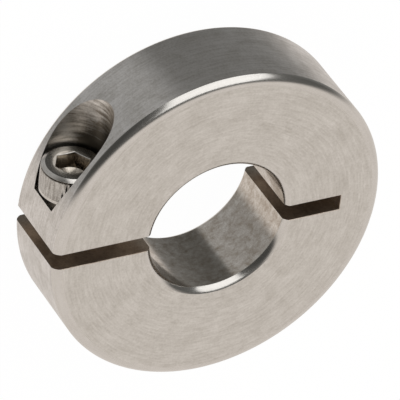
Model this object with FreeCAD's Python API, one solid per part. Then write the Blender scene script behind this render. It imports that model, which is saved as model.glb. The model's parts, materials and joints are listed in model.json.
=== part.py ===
import FreeCAD, Part
import math
import os

# One-piece clamping shaft collar with its clamp screw. Millimetres and degrees.
# The bore axis is +Z, the collar lies on its back face at z = 0, the clamping slit is at -X,
# and the screw stands along +Y with its head up.

# Ring
outer_d = 26.99
width = 7.14
bore_d = 11.11
bore_chamfer = 0.42
# The rounded outer edge starts level with the face and meets the outside at a slight angle
edge_radial = 0.75
edge_axial = 0.50

# Saw cuts: the slit goes right through the wall, the hinge slot leaves a web to flex
slit_width = 1.32
hinge_slot_width = 1.32
hinge_web = 3.37

# Clamp screw
thread_d = 2.84
screw_length = 7.20
screw_tip_chamfer = 0.30
head_d = 4.75
head_height = 2.40
head_top_chamfer_radial = 0.33
head_top_chamfer_axial = 0.21
head_bottom_chamfer = 0.08
knurl_count = 54
knurl_depth = 0.09
# Smooth land left below the knurl
knurl_land = 0.32
socket_across_flats = 2.41
socket_depth = 1.30
socket_mouth_extra = 0.06
socket_drill_angle = 150.0

# How the screw sits in the collar
head_rim = 0.22
head_clearance = 0.29
head_standoff = 0.49
upper_jaw = 2.60
clearance_hole_gap = 0.13
thread_gap = 0.04
tip_room = 0.36
drill_point_angle = 118.0

# Extra length of a cutter past the surface that it leaves through
overshoot = 1.0

# Places worked out from the sizes above
outer_r = outer_d / 2
bore_r = bore_d / 2
head_r = head_d / 2
screw_x = -(outer_r - head_r - head_rim)
screw_z = width / 2
seat_y = slit_width / 2 + upper_jaw
head_under_y = seat_y + head_standoff
head_top_y = head_under_y + head_height
tip_y = head_under_y - screw_length
counterbore_r = head_r + head_clearance
tapped_r = thread_d / 2 + thread_gap
# Tightening takes up the standoff, so the blind hole goes that much deeper than the tip
tapped_end_y = tip_y - head_standoff - tip_room

up = FreeCAD.Vector(0, 0, 1)
screw_axis = FreeCAD.Vector(0, 1, 0)


def at(x, y, z):
    return FreeCAD.Vector(x, y, z)


def closed_face(edges):
    return Part.Face(Part.Wire(edges))


def line(start, end):
    return Part.LineSegment(start, end).toShape()


def polygon_face(points):
    return Part.Face(Part.makePolygon(points + points[:1]))


def edge_arc(flat_z, inward):
    """Arc of the rounded outer edge, from the flat face out to the outside diameter."""
    radius = (edge_radial ** 2 + edge_axial ** 2) / (2 * edge_axial)
    sweep = math.asin(edge_radial / radius)
    start_x = outer_r - edge_radial
    centre_z = flat_z + inward * radius

    def point(angle):
        return at(start_x + radius * math.sin(angle), 0, centre_z - inward * radius * math.cos(angle))

    return Part.Arc(point(0), point(sweep / 2), point(sweep)).toShape()


def ring():
    back_arc = edge_arc(0, 1)
    front_arc = edge_arc(width, -1)
    mouth_r = bore_r + bore_chamfer
    back_in = at(mouth_r, 0, 0)
    front_in = at(mouth_r, 0, width)
    wall_low = at(bore_r, 0, bore_chamfer)
    wall_high = at(bore_r, 0, width - bore_chamfer)
    section = closed_face([
        line(back_in, at(outer_r - edge_radial, 0, 0)),
        back_arc,
        line(at(outer_r, 0, edge_axial), at(outer_r, 0, width - edge_axial)),
        front_arc,
        line(at(outer_r - edge_radial, 0, width), front_in),
        line(front_in, wall_high),
        line(wall_high, wall_low),
        line(wall_low, back_in),
    ])
    return section.revolve(at(0, 0, 0), up, 360)


def slit_cutter():
    length = outer_r + overshoot
    corner = at(-length, -slit_width / 2, -overshoot)
    return Part.makeBox(length, slit_width, width + 2 * overshoot, corner)


def hinge_slot_cutter():
    corner = at(0, -hinge_slot_width / 2, -overshoot)
    return Part.makeBox(outer_r - hinge_web, hinge_slot_width, width + 2 * overshoot, corner)


def hole_along_screw(radius, low_y, high_y):
    return Part.makeCylinder(radius, high_y - low_y, at(screw_x, low_y, screw_z), screw_axis)


def counterbore_cutter():
    return hole_along_screw(counterbore_r, seat_y, outer_r + overshoot)


def clearance_hole_cutter():
    return hole_along_screw(thread_d / 2 + clearance_hole_gap, 0, seat_y + overshoot)


def tapped_hole_cutter():
    bottom = at(screw_x, tapped_end_y, screw_z)
    point_length = tapped_r / math.tan(math.radians(drill_point_angle / 2))
    drill_point = Part.makeCone(tapped_r, 0, point_length, bottom, screw_axis * -1)
    return hole_along_screw(tapped_r, tapped_end_y, 0).fuse(drill_point)


def collar_body():
    cutters = [
        slit_cutter(),
        hinge_slot_cutter(),
        counterbore_cutter(),
        clearance_hole_cutter(),
        tapped_hole_cutter(),
    ]
    return ring().cut(cutters).removeSplitter()


def screw_blank():
    """Head and shank turned in one, without knurl and socket."""
    top_r = head_r - head_top_chamfer_radial
    low_r = head_r - head_bottom_chamfer
    shank_r = thread_d / 2
    section = polygon_face([
        at(0, tip_y, 0),
        at(shank_r - screw_tip_chamfer, tip_y, 0),
        at(shank_r, tip_y + screw_tip_chamfer, 0),
        at(shank_r, head_under_y, 0),
        at(low_r, head_under_y, 0),
        at(head_r, head_under_y + head_bottom_chamfer, 0),
        at(head_r, head_top_y - head_top_chamfer_axial, 0),
        at(top_r, head_top_y, 0),
        at(0, head_top_y, 0),
    ])
    blank = section.revolve(at(0, 0, 0), screw_axis, 360)
    blank.translate(at(screw_x, 0, screw_z))
    return blank


def knurl_cutter():
    """Band around the head, closed on the inside by the straight knurl's ridges and grooves."""
    low_y = head_under_y + knurl_land
    high_y = head_top_y - head_top_chamfer_axial
    step = 2 * math.pi / knurl_count
    points = []
    for index in range(knurl_count):
        for angle, radius in ((index * step, head_r), ((index + 0.5) * step, head_r - knurl_depth)):
            points.append(at(screw_x + radius * math.cos(angle), low_y, screw_z + radius * math.sin(angle)))
    knurled = polygon_face(points).extrude(at(0, high_y - low_y, 0))
    return hole_along_screw(head_r + overshoot, low_y, high_y).cut(knurled)


def socket_cutter():
    corner_r = socket_across_flats / 2 / math.cos(math.radians(30))
    mouth_r = corner_r + socket_mouth_extra
    floor_y = head_top_y - socket_depth
    points = []
    for index in range(6):
        angle = math.radians(60 * index)
        points.append(at(screw_x + corner_r * math.cos(angle), floor_y, screw_z + corner_r * math.sin(angle)))
    hexagon = polygon_face(points).extrude(at(0, socket_depth + overshoot, 0))
    drill_r = socket_across_flats / 2
    drill_point = Part.makeCone(
        drill_r, 0, drill_r / math.tan(math.radians(socket_drill_angle / 2)),
        at(screw_x, floor_y, screw_z), screw_axis * -1)
    mouth = Part.makeCone(mouth_r, 0, mouth_r, at(screw_x, head_top_y, screw_z), screw_axis * -1)
    return hexagon.fuse([drill_point, mouth])


def clamp_screw():
    return screw_blank().cut([knurl_cutter(), socket_cutter()]).removeSplitter()


os.makedirs("parts", exist_ok=True)
for name, shape in (("collar_body", collar_body()), ("clamp_screw", clamp_screw())):
    shape.exportStep("parts/" + name + ".step")
    box = shape.BoundBox
    print(name, "solids", len(shape.Solids), "valid", shape.isValid(), "volume", round(shape.Volume, 3),
          "size", round(box.XLength, 3), round(box.YLength, 3), round(box.ZLength, 3))
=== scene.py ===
import json
import math

import bmesh
import bpy
from mathutils import Matrix, Vector


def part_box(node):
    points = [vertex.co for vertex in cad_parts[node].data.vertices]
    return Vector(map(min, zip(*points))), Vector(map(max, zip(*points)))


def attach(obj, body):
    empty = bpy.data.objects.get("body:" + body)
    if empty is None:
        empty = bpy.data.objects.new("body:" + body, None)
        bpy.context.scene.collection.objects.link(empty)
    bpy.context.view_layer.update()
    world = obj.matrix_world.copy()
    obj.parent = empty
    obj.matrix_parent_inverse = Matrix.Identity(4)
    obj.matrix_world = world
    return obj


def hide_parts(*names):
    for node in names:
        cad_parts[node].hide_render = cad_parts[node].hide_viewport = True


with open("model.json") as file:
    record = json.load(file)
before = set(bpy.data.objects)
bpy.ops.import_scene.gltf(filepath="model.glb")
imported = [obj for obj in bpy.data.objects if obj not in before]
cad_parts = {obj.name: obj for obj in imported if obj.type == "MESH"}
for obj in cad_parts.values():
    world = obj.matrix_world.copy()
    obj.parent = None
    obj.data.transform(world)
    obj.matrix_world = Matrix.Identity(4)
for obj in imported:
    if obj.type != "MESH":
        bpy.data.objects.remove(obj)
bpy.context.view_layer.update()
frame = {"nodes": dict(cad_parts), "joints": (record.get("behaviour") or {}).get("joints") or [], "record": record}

print("frame loaded:", ", ".join(sorted(frame["nodes"])))

# One-piece shaft collar, turned from stainless steel, with its clamp screw.
# Sizes in the dictionaries are millimetres, meshes are metres.
mm = 0.001
scene = bpy.context.scene


def linearColour(hexText):
    parts = [int(hexText[i:i + 2], 16) / 255 for i in (1, 3, 5)]
    return [p / 12.92 if p <= 0.04045 else ((p + 0.055) / 1.055) ** 2.4 for p in parts] + [1.0]


# Adds a node, sets its properties, and links or fills its sockets.
# A Mix of colours has its factor on socket 0, its colours on 6 and 7 and its result on output 2.
def addNode(tree, kind, sockets=None, **settings):
    node = tree.nodes.new(kind)
    for name, value in settings.items():
        setattr(node, name, value)
    for socket, value in (sockets or {}).items():
        if isinstance(value, bpy.types.Node):
            value = next(out for out in value.outputs if out.enabled)
        if isinstance(value, bpy.types.NodeSocket):
            tree.links.new(value, node.inputs[socket])
        else:
            node.inputs[socket].default_value = value
    return node


def linkToScene(name, mesh):
    thing = bpy.data.objects.new(name, mesh)
    scene.collection.objects.link(thing)
    return thing


# Turns live modifiers into a plain mesh and leaves none behind
def freezeModifiers(thing):
    depsgraph = bpy.context.evaluated_depsgraph_get()
    plain = bpy.data.meshes.new_from_object(thing.evaluated_get(depsgraph), depsgraph=depsgraph)
    plain.name = thing.name
    thing.modifiers.clear()
    thing.data = plain
    return plain


# The camera has the photograph's distance, aim and lens, worked out from the outline, the bore and the slit
camera = {
    "aim": (0.093, 0.130, 3.620),
    "azimuth": 214.20,      # degrees, from -Y towards +X
    "elevation": 44.34,
    "roll": 142.49,
    "distance": 404.15,
    "lens": 487.18,
    "sensor": 36.0,
    "clipNear": 0.01,       # metres, as is the next
    "clipFar": 5.0,
}


def makeCamera(values):
    azimuth, elevation, roll = (math.radians(values[k]) for k in ("azimuth", "elevation", "roll"))
    level = math.cos(elevation)
    back = Vector((math.sin(azimuth) * level, -math.cos(azimuth) * level, math.sin(elevation)))
    sideways = (-back).cross(Vector((0, 0, 1))).normalized()
    upright = sideways.cross(-back)
    right = math.cos(roll) * sideways + math.sin(roll) * upright
    up = back.cross(right)
    data = bpy.data.cameras.new("camera")
    data.lens = values["lens"]
    data.sensor_width = values["sensor"]
    data.clip_start = values["clipNear"]
    data.clip_end = values["clipFar"]
    thing = linkToScene("camera", data)
    thing.rotation_mode = "QUATERNION"
    thing.rotation_quaternion = Matrix((right, up, back)).transposed().to_quaternion()
    thing.location = (Vector(values["aim"]) + back * values["distance"]) * mm
    scene.camera = thing


makeCamera(camera)
scene.view_settings.view_transform = "Standard"
print("camera set")


# The studio: what the metal mirrors is a grey room, a white table at -Y and one softbox above at +Y.
# Pairs of numbers give where a change begins and where it is full, as a part of the direction looked in.
studio = {
    "tableTone": "#E7E1DC",
    "tableEdge": (0.16, -0.12),         # Y, from room to table
    "tableGap": 0.12,                   # how much later the table begins, low on the left
    "roomTone": "#5D5D5B",
    "roomLeftTone": "#484846",
    "roomLeftEdge": (-0.25, -0.6),      # X
    "lowEdge": (0.15, -0.25),           # Z, below which pale things stand behind the collar
    "lowGlow": 0.15,                    # how far they lift the room towards white
    "lowGlowTop": 0.02,
    "lowGlowRise": (0.1, 0.7),          # Y, from lowGlow to lowGlowTop
    "lowGlowLeft": 0.35,
    "lowLeftEdge": (-0.03, -0.15),      # X, from these to lowGlowLeft
    "softboxPlace": (68.0, 196.0, 170.0),
    "softboxBack": (0.19, 0.96, 0.21),  # the way its back points, and then the way its wide side runs
    "softboxEdge": (1.0, 0.0, -0.07),
    "softboxWide": 266.0,
    "softboxHigh": 395.0,
    "softboxGlow": 1.23,                # 1 is as bright as white paper
    "floorSize": 1200.0,
    "floorGap": 0.02,                   # keeps the floor clear of the back face
    "floorTone": "#E6E5E3",
    "floorWhite": 0.96,                 # share of white that the camera sees, the rest keeps the shadow
    "floorGlow": 1.02,
}


def makeWorld(values):
    world = bpy.data.worlds.new("studio")
    world.use_nodes = True
    tree = world.node_tree
    tree.nodes.clear()
    way = addNode(tree, "ShaderNodeTexCoord")
    x, y, z = addNode(tree, "ShaderNodeSeparateXYZ", {0: way.outputs["Generated"]}).outputs

    def blend(value, edge, low=0.0, high=1.0, kind="SMOOTHSTEP"):
        return addNode(tree, "ShaderNodeMapRange", {
            "Value": value, "From Min": edge[0], "From Max": edge[1],
            "To Min": low, "To Max": high}, interpolation_type=kind)

    right = blend(y, values["lowGlowRise"], values["lowGlow"], values["lowGlowTop"], "LINEAR")
    glow = blend(x, values["lowLeftEdge"], right, values["lowGlowLeft"])
    near = addNode(tree, "ShaderNodeMath", {0: blend(z, values["lowEdge"]), 1: glow}, operation="MULTIPLY")
    gapShare = values["tableGap"] / values["lowGlowLeft"]
    gap = addNode(tree, "ShaderNodeMath", {0: near, 1: gapShare, 2: y}, operation="MULTIPLY_ADD")
    table = blend(gap, values["tableEdge"])
    walls = addNode(tree, "ShaderNodeMix", {
        0: blend(x, values["roomLeftEdge"]), 6: linearColour(values["roomTone"]),
        7: linearColour(values["roomLeftTone"])}, data_type="RGBA")
    room = addNode(tree, "ShaderNodeMix", {
        0: near, 6: walls.outputs[2], 7: (1, 1, 1, 1)}, data_type="RGBA")
    tone = addNode(tree, "ShaderNodeMix", {
        0: table, 6: room.outputs[2], 7: linearColour(values["tableTone"])}, data_type="RGBA")
    light = addNode(tree, "ShaderNodeBackground", {"Color": tone.outputs[2], "Strength": 1.0})
    # The white that the camera sees isn't mirrored, so the metal keeps its greys
    white = addNode(tree, "ShaderNodeBackground", {"Color": (1, 1, 1, 1), "Strength": 1.0})
    path = addNode(tree, "ShaderNodeLightPath")
    both = addNode(tree, "ShaderNodeMixShader", {0: path.outputs["Is Camera Ray"], 1: light, 2: white})
    addNode(tree, "ShaderNodeOutputWorld", {"Surface": both})
    scene.world = world


def makeSoftbox(values):
    data = bpy.data.lights.new("softbox", "AREA")
    data.shape = "RECTANGLE"
    data.size = values["softboxWide"] * mm
    data.size_y = values["softboxHigh"] * mm
    data.energy = values["softboxGlow"] * math.pi * data.size * data.size_y
    thing = linkToScene("softbox", data)
    thing.location = Vector(values["softboxPlace"]) * mm
    back = Vector(values["softboxBack"]).normalized()
    across = Vector(values["softboxEdge"])
    across = (across - across.dot(back) * back).normalized()
    thing.rotation_mode = "QUATERNION"
    thing.rotation_quaternion = Matrix((across, back.cross(across), back)).transposed().to_quaternion()
    thing.visible_camera = False


def makeFloor(values):
    mesh = bpy.data.meshes.new("floor")
    half = values["floorSize"] * mm / 2
    low = -values["floorGap"] * mm
    corners = [(-half, -half, low), (half, -half, low), (half, half, low), (-half, half, low)]
    mesh.from_pydata(corners, [], [(0, 1, 2, 3)])
    # White table paper: for the camera it is lifted to white and keeps a faint shadow
    paper = bpy.data.materials.new("whitePaperMatte")
    paper.use_nodes = True
    tree = paper.node_tree
    tree.nodes.clear()
    path = addNode(tree, "ShaderNodeLightPath")
    diffuse = addNode(tree, "ShaderNodeBsdfDiffuse", {"Color": linearColour(values["floorTone"])})
    white = addNode(tree, "ShaderNodeEmission", {
        "Color": (1, 1, 1, 1), "Strength": values["floorGlow"]})
    lift = addNode(tree, "ShaderNodeMath", {
        0: path.outputs["Is Camera Ray"], 1: values["floorWhite"]}, operation="MULTIPLY")
    both = addNode(tree, "ShaderNodeMixShader", {0: lift, 1: diffuse, 2: white})
    # Clear from below, so that the collar's back face can be looked at too
    side = addNode(tree, "ShaderNodeNewGeometry")
    clear = addNode(tree, "ShaderNodeBsdfTransparent")
    sided = addNode(tree, "ShaderNodeMixShader", {0: side.outputs["Backfacing"], 1: both, 2: clear})
    addNode(tree, "ShaderNodeOutputMaterial", {"Surface": sided})
    mesh.materials.append(paper)
    floor = linkToScene("floor", mesh)
    floor.visible_glossy = False    # the metal mirrors the studio round it instead


makeWorld(studio)
makeSoftbox(studio)
makeFloor(studio)
print("studio set")


noiseLow, noiseHigh = 0.3, 0.7      # nearly all of a noise's values lie between these
streakRadius = 10.0                 # on a round cut, "streak" is a length at this radius
evenTone = 0.5                      # half way from dark to pale


# One steel for the collar and one for the screw; what differs is the tool that left each surface.
# lay "face" runs in rings round the axis, lay "side" runs round a cylinder, "straight" runs along X.
def makeSteel(name, values):
    steel = bpy.data.materials.new(name)
    steel.use_nodes = True
    tree = steel.node_tree
    tree.nodes.clear()
    place = addNode(tree, "ShaderNodeTexCoord").outputs["Object"]
    # Millimetres round the axis of the cut, with that axis turned to Z
    centre = addNode(tree, "ShaderNodeMapping", {
        "Vector": place, "Location": [-c * mm for c in values["centre"]]})
    turn = addNode(tree, "ShaderNodeMapping", {
        "Vector": centre, "Rotation": values["turn"], "Scale": (1 / mm, 1 / mm, 1 / mm)})
    split = addNode(tree, "ShaderNodeSeparateXYZ", {0: turn})
    x, y, z = split.outputs
    flat = addNode(tree, "ShaderNodeCombineXYZ", {0: x, 1: y})
    radius = addNode(tree, "ShaderNodeVectorMath", {0: flat}, operation="LENGTH").outputs["Value"]
    ring = addNode(tree, "ShaderNodeVectorMath", {0: flat}, operation="NORMALIZE")
    across = {"face": radius, "side": z, "straight": y}[values["lay"]]
    feed = addNode(tree, "ShaderNodeMath", {0: across, 1: 1 / values["pitch"]}, operation="MULTIPLY")
    if values["lay"] == "straight":
        along, reach = addNode(tree, "ShaderNodeCombineXYZ", {0: x, 1: z}), 1.0
    else:
        along, reach = ring, streakRadius
    along = addNode(tree, "ShaderNodeVectorMath", {
        0: along, "Scale": reach / values["streak"]}, operation="SCALE")
    first, second, _ = addNode(tree, "ShaderNodeSeparateXYZ", {0: along}).outputs
    lines = addNode(tree, "ShaderNodeCombineXYZ", {0: first, 1: second, 2: feed})
    streaks = addNode(tree, "ShaderNodeTexNoise", {
        "Vector": lines, "Scale": 1.0, "Detail": 3.0, "Roughness": 0.6})
    clouds = addNode(tree, "ShaderNodeTexNoise", {
        "Vector": turn, "Scale": 1 / values["cloud"], "Detail": 4.0,
        "Roughness": 0.55, "Distortion": 0.6})
    grain = addNode(tree, "ShaderNodeTexNoise", {
        "Vector": turn, "Scale": 1 / values["grain"], "Detail": 2.0})
    # Tone: pale metal, a little darker in the tool's grooves and in clouds
    shade = 0.0
    for noise, share in ((streaks, "streakTone"), (clouds, "cloudTone"), (grain, "grainTone")):
        part = addNode(tree, "ShaderNodeMapRange", {
            "Value": noise.outputs["Fac"], "From Min": noiseLow, "From Max": noiseHigh,
            "To Min": -values[share], "To Max": values[share]})
        shade = addNode(tree, "ShaderNodeMath", {0: shade, 1: part}, operation="ADD")
    # Painted shade and painted sheen in a deep cut: painted shade darkens it towards its bottom, more so on the
    # side away from the collar's outside.
    # A painted sheen makes the side next to the outside paler, and painted shade darkens it again just beside the
    # screw's head.
    lean = addNode(tree, "ShaderNodeMath", {0: x, 1: values["lean"]}, operation="MULTIPLY")
    inner = addNode(tree, "ShaderNodeMath", {0: z, 1: lean}, operation="SUBTRACT")
    outer = addNode(tree, "ShaderNodeMath", {0: z, 1: lean}, operation="ADD")
    paintedLightShare = evenTone
    # deep painted shade, outer painted sheen, painted shade beside the head
    for level, mark in ((inner, "paintedDeepShade"), (outer, "paintedOuterSheen"), (z, "paintedHeadShade")):
        begins, full, amount = values[mark]
        part = addNode(tree, "ShaderNodeMapRange", {
            "Value": level, "From Min": begins, "From Max": full,
            "To Min": 0.0, "To Max": amount}, interpolation_type="SMOOTHSTEP")
        paintedLightShare = addNode(tree, "ShaderNodeMath", {0: paintedLightShare, 1: part}, operation="ADD")
    mix = addNode(tree, "ShaderNodeMath", {0: shade, 1: paintedLightShare}, operation="ADD", use_clamp=True)
    tone = addNode(tree, "ShaderNodeMix", {
        0: mix, 6: linearColour(values["dark"]), 7: linearColour(values["pale"])}, data_type="RGBA")
    rough = addNode(tree, "ShaderNodeMath", {0: shade, 1: -values["roughSpread"]}, operation="MULTIPLY")
    rough = addNode(tree, "ShaderNodeMath", {0: rough, 1: values["rough"]}, operation="ADD", use_clamp=True)
    height = addNode(tree, "ShaderNodeMath", {
        0: grain.outputs["Fac"], 1: values["grainBump"], 2: streaks.outputs["Fac"]},
        operation="MULTIPLY_ADD")
    bump = addNode(tree, "ShaderNodeBump", {
        "Height": height, "Strength": 1.0, "Distance": values["depth"] * mm})
    shader = addNode(tree, "ShaderNodeBsdfPrincipled", {
        "Base Color": tone.outputs[2], "Metallic": 1.0, "Roughness": rough, "Normal": bump,
        "Anisotropic": values["stretch"]})
    # Reflections spread across the lay: outwards on a face, along the axis on a side
    if values["stretchWay"] == "out":
        wayHere = ring
    else:
        wayHere = addNode(tree, "ShaderNodeCombineXYZ", {2: 1.0})
    wayBack = addNode(tree, "ShaderNodeVectorRotate", {
        "Vector": wayHere, "Rotation": [-a for a in values["turn"]]}, rotation_type="EULER_XYZ")
    wayWorld = addNode(tree, "ShaderNodeVectorTransform", {"Vector": wayBack},
                       vector_type="VECTOR", convert_from="OBJECT", convert_to="WORLD")
    tree.links.new(wayWorld.outputs[0], shader.inputs["Tangent"])
    addNode(tree, "ShaderNodeOutputMaterial", {"Surface": shader})
    return steel


# Turned stainless, faced: the face looks even and satin, with soft rings
faceSteel = {
    "centre": (0, 0, 0), "turn": (0, 0, 0), "lay": "face",
    "pitch": 0.16,          # real feed about 0.08 mm, drawn twice as coarse so that it shows
    "streak": 1.3,          # millimetres, as are cloud, grain and depth
    "cloud": 1.8,
    "grain": 0.15,
    "depth": 0.0008,
    "grainBump": 0.5,       # the grain's share of that depth
    "pale": "#E0DDD8", "dark": "#C3BFB8",
    "streakTone": 0.28, "cloudTone": 0.20, "grainTone": 0.20,
    "rough": 0.30, "roughSpread": 0.05,
    "stretch": 0.2, "stretchWay": "out",
    # Heights where a painted shade or painted sheen begins and is full, and how much paler it makes the tone
    "paintedDeepShade": (1.0, 0.0, 0.0), "paintedOuterSheen": (1.0, 0.0, 0.0), "paintedHeadShade": (1.0, 0.0, 0.0),
    "lean": 0.0,            # how much those heights shift for each millimetre across
}
# Turned stainless, outside: lines run round the rim and spread its reflections up and down.
# They are as fine as the face's in steel, and drawn coarser here too.
rimSteel = dict(faceSteel, lay="side", pitch=0.14, streak=2.2, cloud=1.5,
                streakTone=0.32, cloudTone=0.34, grainTone=0.26, rough=0.33, depth=0.0006,
                pale="#E9E6E3", dark="#C5C1BB", stretch=0.6, stretchWay="up")
# Turned stainless, edges: the rounded edges and the bore's chamfers are smooth and catch bright lights
edgeSteel = dict(faceSteel, lay="side", pitch=0.10, streak=2.2, cloud=3.0,
                 streakTone=0.16, cloudTone=0.1, grainTone=0.1, rough=0.20, depth=0.0003,
                 pale="#E2DFDB", dark="#CBC7C1")
# Drilled and reamed stainless: smeared swirls and cloudy tone
boreSteel = dict(faceSteel, lay="side", pitch=0.30, streak=0.9, cloud=0.8, grain=0.09,
                 streakTone=0.26, cloudTone=0.32, grainTone=0.2, rough=0.16, depth=0.0008,
                 pale="#E2DDD6", dark="#AA9E90", stretch=0.3, stretchWay="up")
# Sawn stainless: dull walls of the slit and the hinge slot, brown with old oil
sawnSteel = dict(faceSteel, lay="straight", pitch=0.10, streak=2.0, cloud=0.9,
                 streakTone=0.4, cloudTone=0.3, grainTone=0.2, rough=0.42, depth=0.002,
                 pale="#CDC1B3", dark="#A09182")
# Milled stainless: the counterbore keeps the end mill's rings, with a painted sheen towards the outside and
# painted shade deep inside and beside the screw's head.
# The rings, about 0.1 mm apart in steel, are drawn at 0.26 so that they show.
screwMid = tuple(round(part / mm, 3) for part in frame["joints"][0]["pos_m"])
screwTurn = (math.radians(90), 0, 0)
milledSteel = dict(faceSteel, centre=screwMid, turn=screwTurn, lay="side", pitch=0.26, streak=7.0,
                   cloud=1.6, streakTone=0.42, cloudTone=0.14, grainTone=0.1, rough=0.30, depth=0.0080,
                   pale="#F6F2EC", dark="#7E766B", stretch=0.70, stretchWay="up",
                   lean=1.9, paintedDeepShade=(5.8, 2.6, -0.55), paintedOuterSheen=(9.8, 8.6, 0.50), paintedHeadShade=(7.1, 6.3, -0.45))
collarSteels = {
    "turnedFaceSteel": faceSteel, "turnedRimSteel": rimSteel, "reamedBoreSteel": boreSteel,
    "turnedEdgeSteel": edgeSteel, "turnedChamferSteel": edgeSteel, "sawnSlitSteel": sawnSteel,
    "milledCounterboreSteel": milledSteel,
}
# Cold-headed stainless cap screw: darker, harder, a little worn
screwSteel = dict(faceSteel, centre=screwMid, turn=screwTurn, lay="side", pitch=0.12, streak=3.0,
                  cloud=0.9, streakTone=0.16, cloudTone=0.22, grainTone=0.3, rough=0.24, depth=0.0010,
                  grain=0.08, pale="#E8E5E1", dark="#C4BFB8")
# Turned top of the head: fine rings, drawn a darker grey than the flank as painted shade
topSteel = dict(screwSteel, lay="face", pitch=0.09, streak=2.0, streakTone=0.25, rough=0.27,
                pale="#AFACA7", dark="#8D8983")
# Rolled knurl: short marks run along the ribs and make them look rough and a little darker in between
knurlSteel = dict(screwSteel, pitch=1.8, streak=0.7, streakTone=0.42, cloudTone=0.2,
                  rough=0.30, depth=0.0030, pale="#D8D5D0", dark="#8F8A83")
# Pressed socket: brownish flats that mirror each other, with marks down them from the punch
socketSteel = dict(screwSteel, pitch=1.4, streak=0.5, streakTone=0.42, cloudTone=0.15, grainTone=0.1,
                   rough=0.18, depth=0.0060, pale="#E4DCD0", dark="#756B5F")
# Bottom of the groove over the knurl: painted shade keeps it dark
shadedGrooveSteel = dict(knurlSteel, pale="#A09990", dark="#726B62", rough=0.45)
screwSteels = {
    "coldHeadedScrewSteel": screwSteel, "rolledKnurlSteel": knurlSteel, "pressedSocketSteel": socketSteel,
    "turnedHeadTopSteel": topSteel, "paintedShadeGrooveSteel": shadedGrooveSteel,
}
steels = {name: makeSteel(name, values) for name, values in {**collarSteels, **screwSteels}.items()}
print("materials made:", len(steels))


weldGap = 0.001 * mm                # points nearer than this become one
threadCrest, threadRoot = 1 / 8, 1 / 4      # flats of the thread, in pitches
lineMarks = ("ribShare", "threadShare", "hexShare", "dishShare")


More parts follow.
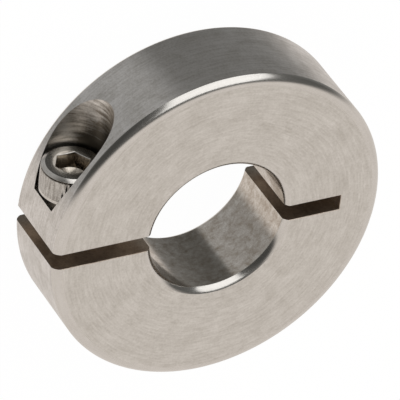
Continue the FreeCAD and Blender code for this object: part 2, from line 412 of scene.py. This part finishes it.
# Geometry Nodes turn a section line into a solid of revolution. The line's X is the radius and its Y the
# height; per point it may carry a share of the knurl, of the thread, of the hexagon and of the dish.
def makeTurningTree(finishes):
    tree = bpy.data.node_groups.new("turnOnLathe", "GeometryNodeTree")
    face = tree.interface
    face.new_socket("Section", in_out="INPUT", socket_type="NodeSocketGeometry")
    for name, kind, start in (
            ("Columns", "NodeSocketInt", 216), ("Rows", "NodeSocketInt", 8),
            ("Rib Count", "NodeSocketFloat", 54.0), ("Rib Depth", "NodeSocketFloat", 0.0),
            ("Thread Pitch", "NodeSocketFloat", 0.001), ("Thread Depth", "NodeSocketFloat", 0.0),
            ("Hexagon Half Width", "NodeSocketFloat", 0.001), ("Dish Slope", "NodeSocketFloat", 0.3),
            ("Place", "NodeSocketVector", (0, 0, 0)), ("Turn", "NodeSocketRotation", (0, 0, 0))):
        socket = face.new_socket(name, in_out="INPUT", socket_type=kind)
        socket.default_value = start
    face.new_socket("Solid", in_out="OUTPUT", socket_type="NodeSocketGeometry")
    sizes = addNode(tree, "NodeGroupInput").outputs
    rows = addNode(tree, "ShaderNodeMath", {0: sizes["Rows"], 1: 1.0}, operation="ADD")
    columns = addNode(tree, "ShaderNodeMath", {0: sizes["Columns"], 1: 1.0}, operation="ADD")
    grid = addNode(tree, "GeometryNodeMeshGrid", {
        "Size X": 1.0, "Size Y": 1.0, "Vertices X": columns, "Vertices Y": rows})
    spot = addNode(tree, "ShaderNodeSeparateXYZ", {0: addNode(tree, "GeometryNodeInputPosition")})
    turnShare = addNode(tree, "ShaderNodeMath", {0: spot.outputs["X"], 1: 0.5}, operation="ADD")
    angle = addNode(tree, "ShaderNodeMath", {0: turnShare, 1: 2 * math.pi}, operation="MULTIPLY")
    rowShare = addNode(tree, "ShaderNodeMath", {0: spot.outputs["Y"], 1: 0.5}, operation="ADD")
    rowFloat = addNode(tree, "ShaderNodeMath", {0: rowShare, 1: sizes["Rows"]}, operation="MULTIPLY")
    rowPoint = addNode(tree, "ShaderNodeMath", {0: rowFloat}, operation="ROUND")
    rowFace = addNode(tree, "ShaderNodeMath", {0: rowFloat}, operation="FLOOR")

    # Which tool cut each strip of faces
    finish = addNode(tree, "GeometryNodeSampleIndex", {
        "Geometry": sizes["Section"], "Index": rowFace,
        "Value": addNode(tree, "GeometryNodeInputNamedAttribute", {"Name": "finish"}, data_type="FLOAT")},
        data_type="FLOAT", domain="POINT")
    marked = addNode(tree, "GeometryNodeStoreNamedAttribute", {
        "Geometry": grid.outputs["Mesh"], "Name": "finish", "Value": finish},
        data_type="FLOAT", domain="FACE")

    sampled = {}
    for name in lineMarks:
        sampled[name] = addNode(tree, "GeometryNodeSampleIndex", {
            "Geometry": sizes["Section"], "Index": rowPoint,
            "Value": addNode(tree, "GeometryNodeInputNamedAttribute", {"Name": name}, data_type="FLOAT")},
            data_type="FLOAT", domain="POINT")
    spotOnLine = addNode(tree, "GeometryNodeSampleIndex", {
        "Geometry": sizes["Section"], "Index": rowPoint,
        "Value": addNode(tree, "GeometryNodeInputPosition")}, data_type="FLOAT_VECTOR", domain="POINT")
    line = addNode(tree, "ShaderNodeSeparateXYZ", {0: spotOnLine})
    radius, height = line.outputs["X"], line.outputs["Y"]

    # Straight knurl: ridge at every rib, groove half way between
    ribPhase = addNode(tree, "ShaderNodeMath", {0: turnShare, 1: sizes["Rib Count"]}, operation="MULTIPLY")
    ribPhase = addNode(tree, "ShaderNodeMath", {0: ribPhase, 1: 0.5}, operation="PINGPONG")
    ribCut = addNode(tree, "ShaderNodeMapRange", {
        "Value": ribPhase, "From Min": 0.0, "From Max": 0.5, "To Min": 0.0, "To Max": sizes["Rib Depth"]})
    ribCut = addNode(tree, "ShaderNodeMath", {0: ribCut, 1: sampled["ribShare"]}, operation="MULTIPLY")

    # Right-hand thread with a flat crest and a flat root
    climb = addNode(tree, "ShaderNodeMath", {0: height, 1: sizes["Thread Pitch"]}, operation="DIVIDE")
    phase = addNode(tree, "ShaderNodeMath", {0: climb, 1: turnShare}, operation="SUBTRACT")
    phase = addNode(tree, "ShaderNodeMath", {0: phase, 1: 0.5}, operation="PINGPONG")
    threadCut = addNode(tree, "ShaderNodeMapRange", {
        "Value": phase, "From Min": threadRoot / 2, "From Max": (1 - threadCrest) / 2,
        "To Min": sizes["Thread Depth"], "To Max": 0.0})
    threadCut = addNode(tree, "ShaderNodeMath", {
        0: threadCut, 1: sampled["threadShare"]}, operation="MULTIPLY")

    # Hexagon: its half width over the cosine of the way from the middle of the flat
    sixth = math.pi / 3
    flat = addNode(tree, "ShaderNodeMath", {0: angle, 1: sixth}, operation="MODULO")
    flat = addNode(tree, "ShaderNodeMath", {0: flat, 1: sixth / 2}, operation="SUBTRACT")
    flat = addNode(tree, "ShaderNodeMath", {0: flat}, operation="COSINE")
    hexagon = addNode(tree, "ShaderNodeMath", {0: sizes["Hexagon Half Width"], 1: flat}, operation="DIVIDE")
    # A hexShare above 0.5 puts a point on the hexagon times that share; its dishShare drops it down the dish
    onHexagon = addNode(tree, "ShaderNodeMath", {0: sampled["hexShare"], 1: 0.5}, operation="GREATER_THAN")
    hexagon = addNode(tree, "ShaderNodeMath", {0: hexagon, 1: sampled["hexShare"]}, operation="MULTIPLY")
    drop = addNode(tree, "ShaderNodeMath", {0: radius, 1: hexagon}, operation="SUBTRACT")
    drop = addNode(tree, "ShaderNodeMath", {0: drop, 1: sampled["dishShare"]}, operation="MULTIPLY")
    drop = addNode(tree, "ShaderNodeMath", {0: drop, 1: sizes["Dish Slope"]}, operation="MULTIPLY")

    radius = addNode(tree, "ShaderNodeMath", {0: radius, 1: ribCut}, operation="SUBTRACT")
    radius = addNode(tree, "ShaderNodeMath", {0: radius, 1: threadCut}, operation="SUBTRACT")
    radius = addNode(tree, "ShaderNodeMix", {0: onHexagon, 2: radius, 3: hexagon}, data_type="FLOAT")
    height = addNode(tree, "ShaderNodeMath", {0: height, 1: drop}, operation="SUBTRACT")
    xPart = addNode(tree, "ShaderNodeMath", {
        0: radius, 1: addNode(tree, "ShaderNodeMath", {0: angle}, operation="COSINE")}, operation="MULTIPLY")
    yPart = addNode(tree, "ShaderNodeMath", {
        0: radius, 1: addNode(tree, "ShaderNodeMath", {0: angle}, operation="SINE")}, operation="MULTIPLY")
    place = addNode(tree, "ShaderNodeCombineXYZ", {0: xPart, 1: yPart, 2: height})
    spun = addNode(tree, "GeometryNodeSetPosition", {"Geometry": marked, "Position": place})
    closed = addNode(tree, "GeometryNodeMergeByDistance", {"Geometry": spun, "Distance": 2 * weldGap})
    placed = addNode(tree, "GeometryNodeTransform", {
        "Geometry": closed, "Translation": sizes["Place"], "Rotation": sizes["Turn"]})
    real = addNode(tree, "GeometryNodeRealizeInstances", {"Geometry": placed})
    # Finish numbers are whole, so a tenth tells them apart
    for number, name in enumerate(finishes):
        same = addNode(tree, "FunctionNodeCompare", {
            0: addNode(tree, "GeometryNodeInputNamedAttribute", {"Name": "finish"}, data_type="FLOAT"),
            1: float(number), "Epsilon": 0.1}, data_type="FLOAT", operation="EQUAL")
        real = addNode(tree, "GeometryNodeSetMaterial", {
            "Geometry": real, "Selection": same, "Material": steels[name]})
    addNode(tree, "NodeGroupOutput", {0: real})
    return tree


# section is a list of (radius, height, finish number, ribShare, threadShare, hexShare, dishShare)
def turnPart(name, section, finishes, sizes):
    mesh = bpy.data.meshes.new(name)
    points = [(p[0] * mm, p[1] * mm, 0) for p in section]
    mesh.from_pydata(points, [(i, i + 1) for i in range(len(points) - 1)], [])
    for column, key in enumerate(("finish", *lineMarks), start=2):
        attribute = mesh.attributes.new(key, "FLOAT", "POINT")
        attribute.data.foreach_set("value", [float(p[column]) for p in section])
    thing = linkToScene(name, mesh)
    lathe = thing.modifiers.new("lathe", "NODES")
    lathe.node_group = makeTurningTree(finishes)
    sizes = dict(sizes, Rows=len(points) - 1)
    for item in lathe.node_group.interface.items_tree:
        if item.in_out == "INPUT" and item.name in sizes:
            lathe[item.identifier] = sizes[item.name]
    tidyShell(freezeModifiers(thing))
    return thing


# Closes seams and poles and points the faces outwards
def tidyShell(mesh):
    shell = bmesh.new()
    shell.from_mesh(mesh)
    bmesh.ops.remove_doubles(shell, verts=shell.verts, dist=weldGap)
    bmesh.ops.dissolve_degenerate(shell, edges=shell.edges, dist=weldGap)
    bmesh.ops.recalc_face_normals(shell, faces=shell.faces)
    shell.to_mesh(mesh)
    shell.free()


# Small rounding of a corner in a section line: the corner is replaced by a short arc of points
def roundCorner(before, corner, after, size, steps=3):
    corner = Vector(corner)
    back = (Vector(before) - corner).normalized() * size
    ahead = (Vector(after) - corner).normalized() * size
    points = []
    for step in range(steps + 1):
        t = step / steps
        points.append(tuple(corner + back * (1 - t) ** 2 + ahead * t ** 2))
    return points


# The collar: its outside sizes and its bore come from the frame, the rest repeat the CAD model's
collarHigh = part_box("collar_body")[1]
boreMount = next(mount for mount in frame["record"]["mounts"] if mount["name"] == "bore")
collar = {
    "outerRadius": min(collarHigh.x, collarHigh.y) / mm,
    "width": round(collarHigh.z / mm, 3),
    "boreRadius": boreMount["dims"]["r_mm"],
    "boreChamfer": 0.42,
    "chamferBulge": 0.055,      # hand-broken chamfers are a little rounded
    "chamferSteps": 8,
    "edgeRadial": 0.75,         # rounded outer edge of both faces
    "edgeAxial": 0.50,
    "edgeSteps": 14,
    "rimBreak": 0.02,
    "slitWidth": 1.32,
    "hingeSlotEnd": 10.125,
    "cutBreak": 0.035,          # saw cuts open this much at both faces
    "cutPast": 0.5,             # the saw goes this far past both faces
    "cutReach": 1.0,            # and all tools this far past the outside
    "columns": 720,
}
# Stepped hole for the screw: heights are on the screw's axis, from the middle of the slit
screwHole = {
    "middle": screwMid,
    "counterboreRadius": 2.665,
    "seat": 3.26,
    "clearanceRadius": 1.55,
    "tappedRadius": 1.46,
    "tappedEnd": -4.30,
    "drillPoint": 118.0,
    "sides": 192,
}


def collarSection(values):
    outer, wide, bore = values["outerRadius"], values["width"], values["boreRadius"]
    radial, axial, cham = values["edgeRadial"], values["edgeAxial"], values["boreChamfer"]
    rho = (radial ** 2 + axial ** 2) / (2 * axial)
    sweep = math.asin(radial / rho)
    face, rim, inside, edge, chamfer = range(5)     # places in collarSteels
    half = []       # from the middle of the bore's wall up over the front face to the middle of the rim
    mouth = (bore + cham, wide)
    start = outer - radial
    half.append((bore, wide / 2, inside))
    for step in range(values["chamferSteps"] + 1):
        t = step / values["chamferSteps"]
        proud = values["chamferBulge"] * 4 * t * (1 - t) * math.cos(math.radians(45))
        half.append((bore + cham * t - proud, wide - cham * (1 - t) + proud, chamfer))
    half[-1] = (*mouth, face)
    arc = []
    for step in range(values["edgeSteps"] + 1):
        a = sweep * step / values["edgeSteps"]
        arc.append((start + rho * math.sin(a), wide - rho + rho * math.cos(a)))
    half += [(*p, edge) for p in arc[:-1]]
    half += [(*p, edge) for p in roundCorner(arc[-2], arc[-1], (outer, 0), values["rimBreak"])]
    half[-1] = (*half[-1][:2], rim)
    half.append((outer, wide / 2, rim))
    lower = []      # the same again, mirrored, from the rim back to the bore
    for here, nextOne in zip(half[::-1], half[::-1][1:]):
        lower.append((here[0], wide - here[1], nextOne[2]))
    ring = half[:-1] + lower + [half[0]]
    return [(r, h, f, 0, 0, 0, 0) for r, h, f in ring]


# A saw cut from x low to x high. It opens at 45 degrees near both faces, which breaks its sharp edges
def sawCutter(name, low, high, values, material):
    mesh = bpy.data.meshes.new(name)
    shape = bmesh.new()
    half, opens, past = values["slitWidth"] / 2, values["cutBreak"], values["cutPast"]
    rings = []
    for height, grown in ((-past, past + opens), (opens, 0), (values["width"] - opens, 0),
                          (values["width"] + past, past + opens)):
        rings.append([shape.verts.new((x * mm, y * mm, height * mm)) for x, y in (
            (low - grown, -half - grown), (high + grown, -half - grown),
            (high + grown, half + grown), (low - grown, half + grown))])
    for lower, upper in zip(rings, rings[1:]):
        for i in range(4):
            shape.faces.new((lower[i], lower[(i + 1) % 4], upper[(i + 1) % 4], upper[i]))
    for ends in (rings[0], rings[-1]):
        shape.faces.new(ends)
    bmesh.ops.recalc_face_normals(shape, faces=shape.faces)
    shape.to_mesh(mesh)
    shape.free()
    mesh.materials.append(material)
    return linkToScene(name, mesh)


# A cylinder, or a stepped one, along the screw's axis: pairs of (radius, place on Y)
def drillCutter(name, steps, values, material):
    mesh = bpy.data.meshes.new(name)
    shape = bmesh.new()
    count = values["sides"]
    middleX, _, middleZ = values["middle"]
    rings = []
    for radius, y in steps:
        ring = []
        for i in range(count if radius else 1):
            turned = 2 * math.pi * i / count
            x, z = middleX + radius * math.cos(turned), middleZ + radius * math.sin(turned)
            ring.append(shape.verts.new((x * mm, y * mm, z * mm)))
        rings.append(ring)
    for lower, upper in zip(rings, rings[1:]):
        for i in range(count):
            j = (i + 1) % count
            corners = [lower[i % len(lower)], lower[j % len(lower)],
                       upper[j % len(upper)], upper[i % len(upper)]]
            shape.faces.new(list(dict.fromkeys(corners)))
    for ends in (rings[0], rings[-1]):
        if len(ends) > 1:
            shape.faces.new(ends)
    bmesh.ops.recalc_face_normals(shape, faces=shape.faces)
    shape.to_mesh(mesh)
    shape.free()
    mesh.materials.append(material)
    return linkToScene(name, mesh)


def makeCollar(values, hole):
    turned = list(collarSteels)[:5]     # saw and mill come after these
    body = turnPart("collarRing", collarSection(values), turned, {"Columns": values["columns"]})
    print("  ring turned:", len(body.data.polygons), "faces")
    sawn, milled = steels["sawnSlitSteel"], steels["milledCounterboreSteel"]
    slit, reach = values["slitWidth"], values["cutReach"]
    far = values["outerRadius"] + reach
    wide, clear, tapped = (hole[k] for k in ("counterboreRadius", "clearanceRadius", "tappedRadius"))
    seat, end = hole["seat"], hole["tappedEnd"]
    point = tapped / math.tan(math.radians(hole["drillPoint"] / 2))
    # The saw cuts start inside the bore, one slit's width from the middle
    cutters = [
        sawCutter("slitCut", -far, -slit, values, sawn),
        sawCutter("hingeCut", slit, values["hingeSlotEnd"], values, sawn),
        drillCutter("counterboreCut", [(wide, seat), (wide, far)], hole, milled),
        drillCutter("clearanceCut", [(clear, 0), (clear, seat + reach)], hole, milled),
        drillCutter("tappedCut", [(0, end - point), (tapped, end), (tapped, 0)], hole, milled),
    ]
    for cutter in cutters:
        cut = body.modifiers.new(cutter.name, "BOOLEAN")
        cut.operation = "DIFFERENCE"
        cut.solver = "EXACT"
        cut.material_mode = "TRANSFER"
        cut.object = cutter
        freezeModifiers(body)
        bpy.data.objects.remove(cutter)
    tidyShell(body.data)
    print("  cuts made:", len(body.data.polygons), "faces")
    return body


collarPiece = makeCollar(collar, screwHole)


# The clamp screw, with its heights on its own axis, from the middle of the slit
screw = {
    "headRadius": 2.375, "headUnder": 3.75, "headTop": 6.15,
    "topChamferRadial": 0.33, "topChamferAxial": 0.21, "bottomChamfer": 0.08,
    "topBreak": 0.03, "shoulderBreak": 0.02, "shoulderInset": 0.02,
    "grooveDepth": 0.13, "grooveHigh": 0.10,
    "ribs": 54, "ribDepth": 0.036,
    "ribStart": ((0.02, 0.04, 0.8), (0, 0.08, 1)),      # inset, drop below the groove, share of the rib
    "knurlLand": 0.32, "knurlFade": 0.22,
    "socketAcross": 2.41, "socketDepth": 1.30, "drillAngle": 118.0,
    "mouthRadius": 1.50, "socketLip": 0.05, "dishSlope": 0.16,
    "lipCurve": ((0, 1), (0.25, 0.3), (0.8, 0)),        # how far out and how far down, in lips
    "threadRadius": 1.42, "tip": -3.45, "tipChamfer": 0.30,
    "pitch": 0.635, "threadDepth": 0.36, "rowsPerPitch": 12,
    "runOut": 0.5,                                      # pitches over which the thread reaches its depth
    "tipThread": (0.9, 0.1),                            # thread left at the two ends of the tip's chamfer
    "columns": 216,
}


def screwSection(values):
    top, under = values["headTop"], values["headUnder"]
    half = values["socketAcross"] / 2
    corner = half / math.cos(math.radians(30))
    mouth = values["mouthRadius"]
    floor = top - values["socketDepth"]
    head = values["headRadius"]
    lip = values["socketLip"]
    points = []

    headFinish, knurlFinish, socketFinish, topFinish, shadedGrooveFinish = range(5)      # places in screwSteels

    def add(radius, height, rib=0, thread=0, hexagon=0, dish=0, finish=headFinish):
        points.append((radius, height, finish, rib, thread, hexagon, dish))

    add(0, floor - half / math.tan(math.radians(values["drillAngle"] / 2)), finish=socketFinish)
    add(half, floor, finish=socketFinish)
    add(corner, floor, hexagon=1, finish=socketFinish)
    # The dish starts at the mouth, so its drop is measured from there
    for out, down in values["lipCurve"]:
        add(mouth, top - lip * down, hexagon=1 + lip * out, dish=1)
    add(mouth, top, finish=topFinish)
    # Top face, chamfer, and the narrow groove between the chamfer and the knurl
    land = head - values["topChamferRadial"]
    shoulder = top - values["topChamferAxial"]
    for radius, height in roundCorner((mouth, top), (land, top), (head, shoulder), values["topBreak"])[:-1]:
        add(radius, height, finish=topFinish)
    points[-1] = (*points[-1][:2], headFinish, *points[-1][3:])
    high = values["grooveHigh"]
    bottom = head - values["grooveDepth"]
    for radius, height in roundCorner((land, top), (head - values["shoulderInset"], shoulder),
                                      (bottom, shoulder - high / 2), values["shoulderBreak"]):
        add(radius, height)
    # the groove's rows take the darker steel, which is painted shade
    points[-1] = (*points[-1][:2], shadedGrooveFinish, *points[-1][3:])
    add(bottom, shoulder - high / 2, finish=shadedGrooveFinish)
    add(bottom, shoulder - high, finish=shadedGrooveFinish)
    for inset, drop, share in values["ribStart"]:
        add(head - inset, shoulder - high - drop, rib=share, finish=knurlFinish)
    knurlEnd = under + values["knurlLand"]
    add(head, knurlEnd + values["knurlFade"], rib=1, finish=knurlFinish)
    add(head, knurlEnd)
    foot = values["bottomChamfer"]
    add(head, under + foot)
    add(head - foot, under)
    shank = values["threadRadius"]
    add(shank, under)
    # The thread starts one pitch under the head and gets deeper from there
    step = values["pitch"] / values["rowsPerPitch"]
    neck = under - values["pitch"]
    tip, chamfer = values["tip"], values["tipChamfer"]
    add(shank, neck)
    for row in range(1, int((neck - tip - chamfer) / step) + 1):
        add(shank, neck - row * step, thread=min(1, row / (values["rowsPerPitch"] * values["runOut"])))
    before, after = values["tipThread"]
    add(shank, tip + chamfer, thread=before)
    add(shank - chamfer, tip, thread=after)
    add(0, tip)
    return points


def makeScrew(values):
    return turnPart("clampScrew", screwSection(values), list(screwSteels), {
        "Columns": values["columns"],
        "Rib Count": float(values["ribs"]),
        "Rib Depth": values["ribDepth"] * mm,
        "Thread Pitch": values["pitch"] * mm,
        "Thread Depth": values["threadDepth"] * mm,
        "Hexagon Half Width": values["socketAcross"] / 2 * mm,
        "Dish Slope": values["dishSlope"],
        "Place": tuple(c * mm for c in screwMid),
        "Turn": (-math.pi / 2, 0, 0),
    })


screwPiece = makeScrew(screw)
print("screw made:", len(screwPiece.data.polygons), "faces")

sharpAngle = 16     # degrees; the rounded edge meets the rim at 22, and that corner stays visible
for piece in (collarPiece, screwPiece):
    piece.data.set_sharp_from_angle(angle=math.radians(sharpAngle))

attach(collarPiece, "collar")
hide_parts("collar_body")
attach(screwPiece, "screw")
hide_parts("clamp_screw")
print("pieces ride on their bodies")
